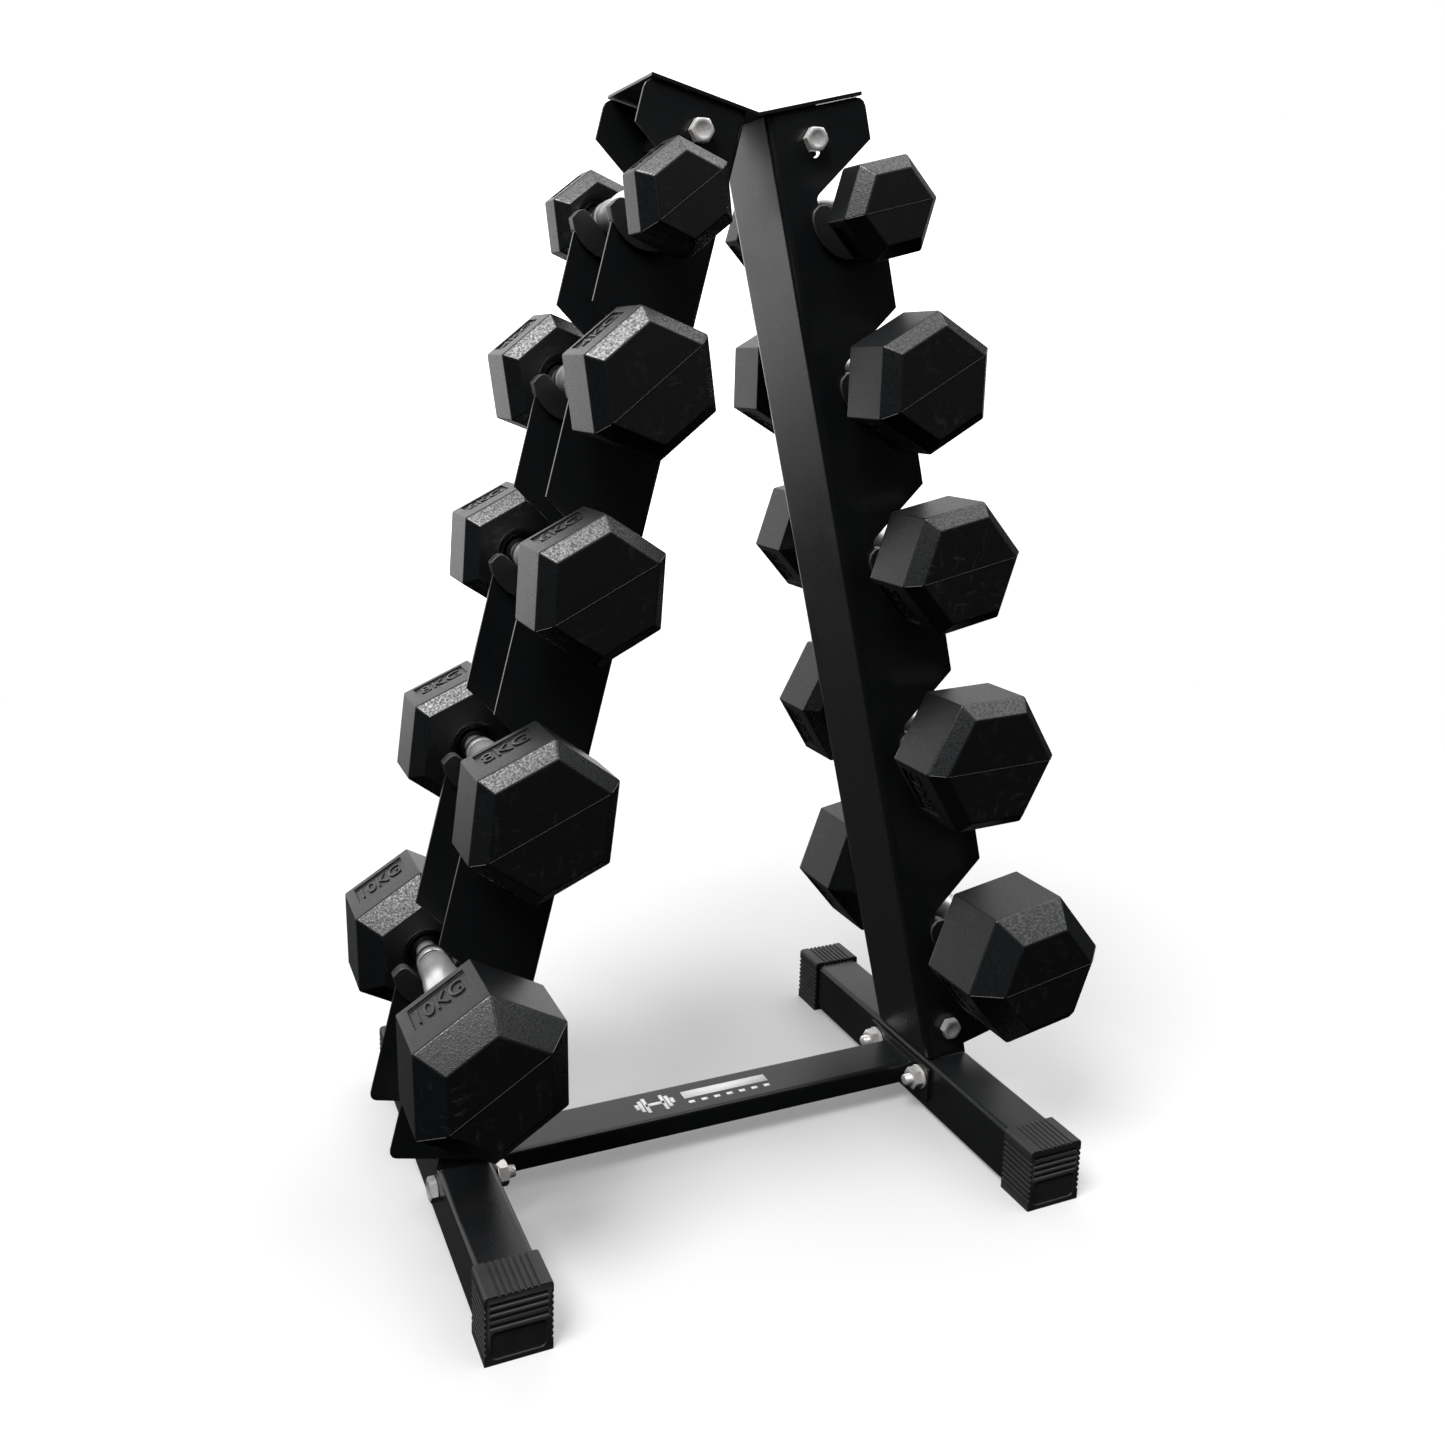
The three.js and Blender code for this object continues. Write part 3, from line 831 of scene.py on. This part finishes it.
def build_dumbbell(side, tier):
    """Two rubber heads, a steel handle and four rings, which ride together."""
    node = f"dumbbell_{side}_{tier}"
    size = measured(node)
    middle = size["middle"]
    text = f"{WEIGHTS[tier - 1]}KG"
    marks = {"left": (0, 3), "right": (2, 5)}[side]
    for end, sign in ENDS.items():
        name = f"{node}_head_{end}"
        mesh = head_mesh(name, size, sign, marks, text)
        mesh.transform(Matrix.Translation(middle))
        head = piece(name, mesh, node, HEAD_LOOKS, node)
        soften(head, EDGE_ROUND, by_weight=True)
        for kind, (place, width) in RINGS.items():
            name = f"{node}_ring_{kind}_{end}"
            mesh = ring_mesh(name, width)
            spot = middle + Vector((0, sign * place, 0))
            mesh.transform(Matrix.Translation(spot) @ pointing(ALONG_Y))
            piece(name, mesh, node, [RING_RUBBER])
    name = f"{node}_handle"
    mesh = handle_mesh(name)
    mesh.transform(Matrix.Translation(middle) @ pointing(ALONG_Y))
    piece(name, mesh, node, [CHROME])


# ----------------------------------------------------------------------------------------
# Camera, floor and light
# ----------------------------------------------------------------------------------------

CAMERA_PLACE = (-0.4608, -0.8655, 0.6896)
CAMERA_HEADING = -19.53  # degrees round Z, from looking along +Y
CAMERA_TILT = 80.91  # degrees up from looking straight down
CAMERA_ROLL = 0.349  # degrees round its own axis
CAMERA_LENS = 29.49  # millimetres, on a sensor 36 mm wide
CAMERA_SHIFT = (0.1226, -0.1215)
LIGHT_DISTANCE = 4.5


def build_camera():
    """The photo's viewing angle."""
    data = bpy.data.cameras.new("camera")
    data.sensor_width = 36
    data.lens = CAMERA_LENS
    data.shift_x, data.shift_y = CAMERA_SHIFT
    camera = bpy.data.objects.new("camera", data)
    bpy.context.scene.collection.objects.link(camera)
    turn = (
        Matrix.Rotation(math.radians(CAMERA_HEADING), 4, "Z")
        @ Matrix.Rotation(math.radians(CAMERA_TILT), 4, "X")
        @ Matrix.Rotation(math.radians(CAMERA_ROLL), 4, "Z")
    )
    camera.matrix_world = Matrix.Translation(CAMERA_PLACE) @ turn
    bpy.context.scene.camera = camera


def build_floor():
    """A round stretch of pale floor. Past its rim the white surroundings look the same."""
    made = bmesh.new()
    bmesh.ops.create_circle(made, cap_ends=True, radius=FLOOR_RADIUS, segments=64)
    floor = bpy.data.objects.new("floor", finished_mesh("floor", made))
    floor.data.materials.append(floor_look())
    bpy.context.scene.collection.objects.link(floor)
    floor.visible_glossy = False
    floor.visible_diffuse = False


def add_light(name, kind, direction, energy):
    """A light that shines on the middle of the rack from a direction."""
    data = bpy.data.lights.new(name, kind)
    data.energy = energy
    light = bpy.data.objects.new(name, data)
    bpy.context.scene.collection.objects.link(light)
    middle = (cad_box[0] + cad_box[1]) / 2
    place = middle + Vector(direction).normalized() * LIGHT_DISTANCE
    light.matrix_world = Matrix.Translation(place) @ pointing(direction)
    return data


def build_light():
    """A soft box up on the left, and a wide soft light from above."""
    key = add_light("key", "AREA", (-0.5, -0.28, 0.83), 290)
    key.size = 2.1
    ceiling = add_light("ceiling", "SUN", (0.4, -0.05, 1), 2.9)
    ceiling.angle = math.radians(75)


def build_surroundings():
    """White where the camera looks. What the rack reflects is bright behind it, dim in front."""
    world = bpy.data.worlds.new("studio")
    bpy.context.scene.world = world
    world.use_nodes = True
    tree = world.node_tree
    nodes, links = tree.nodes, tree.links
    direction = nodes.new("ShaderNodeSeparateXYZ")
    links.new(nodes.new("ShaderNodeTexCoord").outputs["Generated"], direction.inputs["Vector"])
    behind = mapped(tree, direction.outputs["Y"], (0.45, 1.0), (0.02, 2.2), smooth=True)
    above = mapped(tree, direction.outputs["Z"], (-0.36, -0.12), (0.05, 1.0), smooth=True)
    reflected = combined(tree, "MULTIPLY", behind, above)
    seen = nodes.new("ShaderNodeLightPath").outputs["Is Camera Ray"]
    strength = combined(tree, "MAXIMUM", reflected, seen)
    background = nodes["Background"]
    background.inputs["Color"].default_value = (1, 1, 1, 1)
    links.new(strength, background.inputs["Strength"])
    bpy.context.scene.view_settings.view_transform = "Standard"


build_camera()
build_floor()
build_light()
build_surroundings()
build_frame()
build_mark()
build_fasteners()
for side in SIDES:
    for tier in TIERS:
        build_dumbbell(side, tier)
